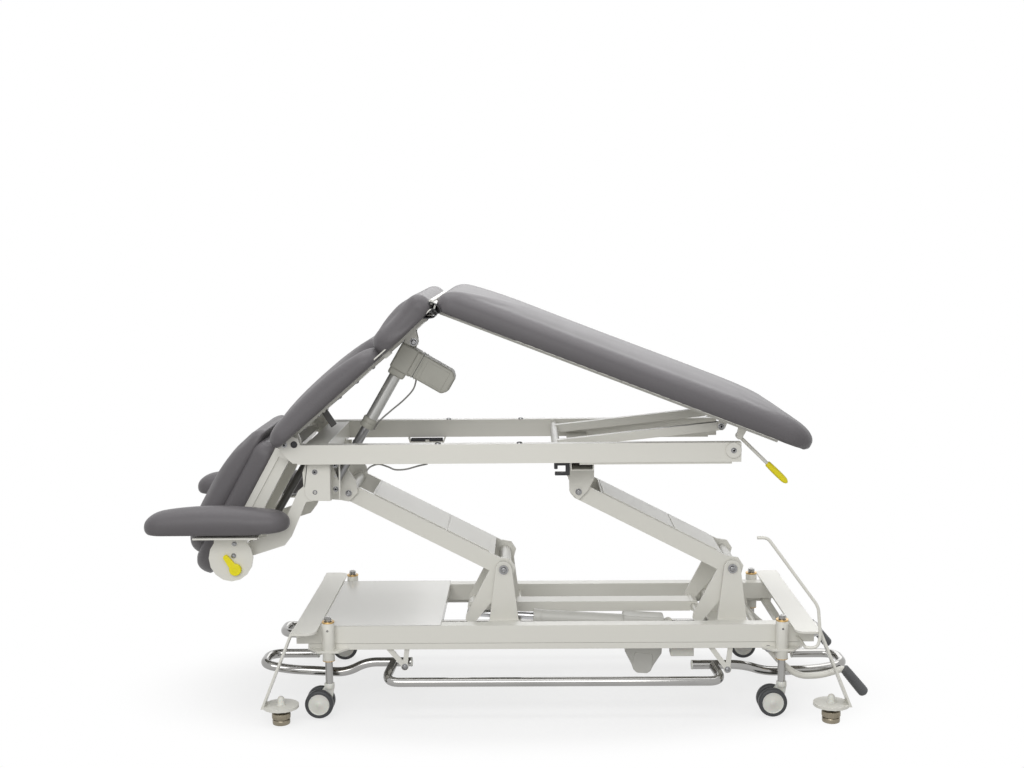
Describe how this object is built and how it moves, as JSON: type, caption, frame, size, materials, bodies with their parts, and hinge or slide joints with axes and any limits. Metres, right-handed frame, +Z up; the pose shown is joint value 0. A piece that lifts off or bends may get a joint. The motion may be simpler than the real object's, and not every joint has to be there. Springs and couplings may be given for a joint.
{
  "type": "physiotherapy treatment table",
  "caption": "Electric height-adjustable massage table with padded head, torso and leg sections folded to a ridge, lowered armrests, parallel lift arms, foot bars and retractable casters.",
  "frame": {"origin": "on the floor, under the middle of the whole table's bounding box as shown, with the sections folded to a ridge", "axes": "+Z up, +X along the table from the head end to the foot end, +Y towards the far long side"},
  "size_m": [2.022, 0.744, 1.2019],
  "materials": {
    "painted_steel": "off-white powder coat",
    "rod_steel": "ground steel",
    "caster_plastic": "off-white moulded plastic",
    "tyre": "dark grey tread",
    "chrome_tube": "bright chrome plated steel tube",
    "black_plastic": "black",
    "actuator_housing": "warm grey moulded plastic",
    "leatherette": "grey matt leatherette over foam",
    "yellow_plastic": "yellow moulded grip"
  },
  "bodies": {
    "base": {"base_rail_near": "painted_steel", "base_rail_far": "painted_steel", "head_end_plate": "painted_steel", "foot_end_plate": "painted_steel", "base_cover": "painted_steel", "head_lift_stand": "painted_steel", "foot_lift_stand": "painted_steel", "cable_holder_bar": "painted_steel"},
    "levelling_foot_head_near": {"levelling_foot_head_near": "rod_steel"},
    "levelling_foot_head_far": {"levelling_foot_head_far": "rod_steel"},
    "levelling_foot_foot_near": {"levelling_foot_foot_near": "rod_steel"},
    "levelling_foot_foot_far": {"levelling_foot_foot_far": "rod_steel"},
    "caster_carriage": {"caster_carriage": "painted_steel"},
    "caster_pedal": {"caster_pedal": "painted_steel"},
    "caster_stem_head_near": {"caster_stem_head_near": "caster_plastic"},
    "caster_wheel_head_near": {"caster_wheel_head_near": "tyre"},
    "caster_stem_head_far": {"caster_stem_head_far": "caster_plastic"},
    "caster_wheel_head_far": {"caster_wheel_head_far": "tyre"},
    "caster_stem_foot_near": {"caster_stem_foot_near": "caster_plastic"},
    "caster_wheel_foot_near": {"caster_wheel_foot_near": "tyre"},
    "caster_stem_foot_far": {"caster_stem_foot_far": "caster_plastic"},
    "caster_wheel_foot_far": {"caster_wheel_foot_far": "tyre"},
    "foot_bar_near": {"foot_bar_near": "chrome_tube"},
    "foot_bar_far": {"foot_bar_far": "chrome_tube"},
    "head_lift_arm": {"head_lift_arm": "painted_steel"},
    "foot_lift_arm": {"foot_lift_arm": "painted_steel"},
    "link_bar": {"link_bar": "painted_steel"},
    "upper_frame": {"upper_rail_near": "painted_steel", "upper_rail_far": "painted_steel", "head_bracket": "painted_steel", "foot_bracket": "painted_steel", "frame_cable": "black_plastic"},
    "lift_actuator_body": {"lift_actuator_body": "actuator_housing"},
    "lift_actuator_rod": {"lift_actuator_rod": "rod_steel"},
    "torso_section": {"torso_frame": "painted_steel", "torso_cushion_centre": "leatherette", "torso_cushion_near": "leatherette", "torso_cushion_far": "leatherette", "pelvic_cushion": "leatherette"},
    "torso_release_lever": {"torso_release_lever": "black_plastic"},
    "leg_section": {"leg_frame": "painted_steel", "leg_cushion": "leatherette"},
    "leg_release_lever": {"leg_release_lever": "painted_steel", "leg_release_grip": "yellow_plastic"},
    "leg_prop_frame": {"leg_prop_frame": "painted_steel"},
    "torso_actuator_body": {"torso_actuator_body": "actuator_housing", "actuator_cable": "black_plastic"},
    "torso_actuator_rod": {"torso_actuator_rod": "rod_steel"},
    "head_section": {"head_frame": "painted_steel", "head_cushion": "leatherette"},
    "gas_spring_cylinder": {"gas_spring_cylinder": "black_plastic"},
    "gas_spring_rod": {"gas_spring_rod": "rod_steel"},
    "armrest_arm_near": {"armrest_arm_near": "painted_steel"},
    "armrest_pad_near": {"armrest_plate_near": "painted_steel", "armrest_cushion_near": "leatherette"},
    "armrest_lock_lever_near": {"armrest_lock_lever_near": "yellow_plastic"},
    "armrest_arm_far": {"armrest_arm_far": "painted_steel"},
    "armrest_pad_far": {"armrest_plate_far": "painted_steel", "armrest_cushion_far": "leatherette"},
    "armrest_lock_lever_far": {"armrest_lock_lever_far": "yellow_plastic"}
  },
  "joints": [
    {"name": "levelling_foot_head_near_screw", "type": "slide", "parent": "base", "child": "levelling_foot_head_near", "axis": [0, 0, 1], "range_m": [-0.01, 0.01]},
    {"name": "levelling_foot_head_far_screw", "type": "slide", "parent": "base", "child": "levelling_foot_head_far", "axis": [0, 0, 1], "range_m": [-0.01, 0.01]},
    {"name": "levelling_foot_foot_near_screw", "type": "slide", "parent": "base", "child": "levelling_foot_foot_near", "axis": [0, 0, 1], "range_m": [-0.01, 0.01]},
    {"name": "levelling_foot_foot_far_screw", "type": "slide", "parent": "base", "child": "levelling_foot_foot_far", "axis": [0, 0, 1], "range_m": [-0.01, 0.01]},
    {"name": "caster_pedal_tilt", "type": "hinge", "parent": "base", "child": "caster_pedal", "pos_m": [0.72305, 0, 0.186], "axis": [0, -1, 0], "range_deg": [0, 14]},
    {"name": "caster_carriage_lower", "type": "slide", "parent": "base", "child": "caster_carriage", "axis": [0, 0, -1], "range_m": [0, 0.012]},
    {"name": "caster_swivel_head_near", "type": "hinge", "parent": "caster_carriage", "child": "caster_stem_head_near", "pos_m": [-0.51195, -0.267, 0.15], "axis": [0, 0, 1], "continuous": true},
    {"name": "caster_spin_head_near", "type": "hinge", "parent": "caster_stem_head_near", "child": "caster_wheel_head_near", "pos_m": [-0.53895, -0.267, 0.043], "axis": [0, 1, 0], "continuous": true},
    {"name": "caster_swivel_head_far", "type": "hinge", "parent": "caster_carriage", "child": "caster_stem_head_far", "pos_m": [-0.51195, 0.267, 0.15], "axis": [0, 0, 1], "continuous": true},
    {"name": "caster_spin_head_far", "type": "hinge", "parent": "caster_stem_head_far", "child": "caster_wheel_head_far", "pos_m": [-0.53895, 0.267, 0.043], "axis": [0, 1, 0], "continuous": true},
    {"name": "caster_swivel_foot_near", "type": "hinge", "parent": "caster_carriage", "child": "caster_stem_foot_near", "pos_m": [0.75805, -0.267, 0.15], "axis": [0, 0, 1], "continuous": true},
    {"name": "caster_spin_foot_near", "type": "hinge", "parent": "caster_stem_foot_near", "child": "caster_wheel_foot_near", "pos_m": [0.73105, -0.267, 0.043], "axis": [0, 1, 0], "continuous": true},
    {"name": "caster_swivel_foot_far", "type": "hinge", "parent": "caster_carriage", "child": "caster_stem_foot_far", "pos_m": [0.75805, 0.267, 0.15], "axis": [0, 0, 1], "continuous": true},
    {"name": "caster_spin_foot_far", "type": "hinge", "parent": "caster_stem_foot_far", "child": "caster_wheel_foot_far", "pos_m": [0.73105, 0.267, 0.043], "axis": [0, 1, 0], "continuous": true},
    {"name": "foot_bar_near_press", "type": "slide", "parent": "base", "child": "foot_bar_near", "axis": [0, 0, -1], "range_m": [0, 0.006], "stiffness_N_per_m": 8000},
    {"name": "foot_bar_far_press", "type": "slide", "parent": "base", "child": "foot_bar_far", "axis": [0, 0, -1], "range_m": [0, 0.006], "stiffness_N_per_m": 8000},
    {"name": "height_lift", "type": "hinge", "parent": "base", "child": "head_lift_arm", "pos_m": [-0.02095, 0, 0.387], "axis": [0, 1, 0], "range_deg": [-36, 12]},
    {"name": "foot_arm_lift", "type": "hinge", "parent": "base", "child": "foot_lift_arm", "pos_m": [0.63905, 0, 0.387], "axis": [0, 1, 0], "range_deg": [-36, 12]},
    {"name": "upper_frame_level", "type": "hinge", "parent": "head_lift_arm", "child": "upper_frame", "pos_m": [-0.46395, 0, 0.615], "axis": [0, 1, 0], "range_deg": [-12, 36]},
    {"name": "link_bar_level", "type": "hinge", "parent": "head_lift_arm", "child": "link_bar", "pos_m": [-0.11695, 0.03, 0.241], "axis": [0, 1, 0], "range_deg": [-12, 36]},
    {"name": "lift_actuator_tilt", "type": "hinge", "parent": "base", "child": "lift_actuator_body", "pos_m": [0.46305, -0.06, 0.205], "axis": [0, 1, 0], "range_deg": [-3.08, 1.04]},
    {"name": "lift_actuator_stroke", "type": "slide", "parent": "lift_actuator_body", "child": "lift_actuator_rod", "axis": [-0.9981, 0, 0.062], "range_m": [-0.10313, 0.03439]},
    {"name": "torso_lift", "type": "hinge", "parent": "upper_frame", "child": "torso_section", "pos_m": [-0.59395, 0, 0.777], "axis": [0, 1, 0], "range_deg": [0, 41]},
    {"name": "torso_release_turn", "type": "hinge", "parent": "torso_section", "child": "torso_release_lever", "pos_m": [-0.51786, -0.19, 0.8617], "axis": [0, 1, 0], "range_deg": [0, 12], "stiffness_Nm_per_rad": 0.6, "springref_deg": -11.46},
    {"name": "leg_tilt", "type": "hinge", "parent": "torso_section", "child": "leg_section", "pos_m": [-0.20566, 0, 1.17019], "axis": [0, 1, 0], "range_deg": [-62.32, 0]},
    {"name": "leg_release_turn", "type": "hinge", "parent": "leg_section", "child": "leg_release_lever", "pos_m": [0.64285, -0.2, 0.78355], "axis": [0, -1, 0], "range_deg": [0, 15], "stiffness_Nm_per_rad": 2, "springref_deg": -14.32},
    {"name": "leg_prop_turn", "type": "hinge", "parent": "leg_section", "child": "leg_prop_frame", "pos_m": [0.59715, 0, 0.80674], "axis": [0, 1, 0], "range_deg": [0, 25.58]},
    {"name": "torso_actuator_tilt", "type": "hinge", "parent": "torso_section", "child": "torso_actuator_body", "pos_m": [-0.26569, -0.16, 1.05176], "axis": [0, 1, 0], "range_deg": [-3.27, 0]},
    {"name": "torso_actuator_stroke", "type": "slide", "parent": "torso_actuator_body", "child": "torso_actuator_rod", "axis": [-0.5024, 0, -0.8646], "range_m": [-0.11244, 0]},
    {"name": "head_tilt", "type": "hinge", "parent": "upper_frame", "child": "head_section", "pos_m": [-0.62095, 0, 0.777], "axis": [0, 1, 0], "range_deg": [-14, 30]},
    {"name": "gas_spring_tilt", "type": "hinge", "parent": "upper_frame", "child": "gas_spring_cylinder", "pos_m": [-0.59295, 0, 0.706], "axis": [0, 1, 0], "range_deg": [-15.65, 33.52]},
    {"name": "gas_spring_stroke", "type": "slide", "parent": "gas_spring_cylinder", "child": "gas_spring_rod", "axis": [-0.5122, 0, -0.8588], "range_m": [-0.01645, 0.03522]},
    {"name": "armrest_lift_near", "type": "hinge", "parent": "upper_frame", "child": "armrest_arm_near", "pos_m": [-0.54495, -0.226, 0.636], "axis": [0, 1, 0], "range_deg": [0, 30]},
    {"name": "armrest_level_near", "type": "hinge", "parent": "armrest_arm_near", "child": "armrest_pad_near", "pos_m": [-0.76995, -0.27, 0.466], "axis": [0, 1, 0], "range_deg": [-30, 0]},
    {"name": "armrest_lock_near", "type": "hinge", "parent": "armrest_pad_near", "child": "armrest_lock_lever_near", "pos_m": [-0.76495, -0.28, 0.428], "axis": [0, 1, 0], "range_deg": [-35, 0]},
    {"name": "armrest_lift_far", "type": "hinge", "parent": "upper_frame", "child": "armrest_arm_far", "pos_m": [-0.54495, 0.226, 0.636], "axis": [0, 1, 0], "range_deg": [0, 30]},
    {"name": "armrest_level_far", "type": "hinge", "parent": "armrest_arm_far", "child": "armrest_pad_far", "pos_m": [-0.76995, 0.27, 0.466], "axis": [0, 1, 0], "range_deg": [-30, 0]},
    {"name": "armrest_lock_far", "type": "hinge", "parent": "armrest_pad_far", "child": "armrest_lock_lever_far", "pos_m": [-0.76495, 0.28, 0.428], "axis": [0, 1, 0], "range_deg": [-35, 0]}
  ],
  "couplings": [
    {"joint": "caster_carriage_lower", "follows": "caster_pedal_tilt", "m_per_rad": 0.049111},
    {"joint": "foot_arm_lift", "follows": "height_lift", "ratio": 1},
    {"joint": "upper_frame_level", "follows": "height_lift", "ratio": -1},
    {"joint": "link_bar_level", "follows": "height_lift", "ratio": -1},
    {"joint": "lift_actuator_tilt", "follows": "height_lift", "ratio": 0.085},
    {"joint": "lift_actuator_stroke", "follows": "height_lift", "m_per_rad": 0.1641},
    {"joint": "leg_tilt", "follows": "torso_lift", "ratio": -1.5195},
    {"joint": "leg_prop_turn", "follows": "torso_lift", "ratio": 0.62334},
    {"joint": "torso_actuator_tilt", "follows": "torso_lift", "ratio": -0.079293},
    {"joint": "torso_actuator_stroke", "follows": "torso_lift", "m_per_rad": -0.15711},
    {"joint": "gas_spring_tilt", "follows": "head_tilt", "ratio": 1.1167},
    {"joint": "gas_spring_stroke", "follows": "head_tilt", "m_per_rad": 0.067225},
    {"joint": "armrest_level_near", "follows": "armrest_lift_near", "ratio": -1},
    {"joint": "armrest_level_far", "follows": "armrest_lift_far", "ratio": -1}
  ]
}
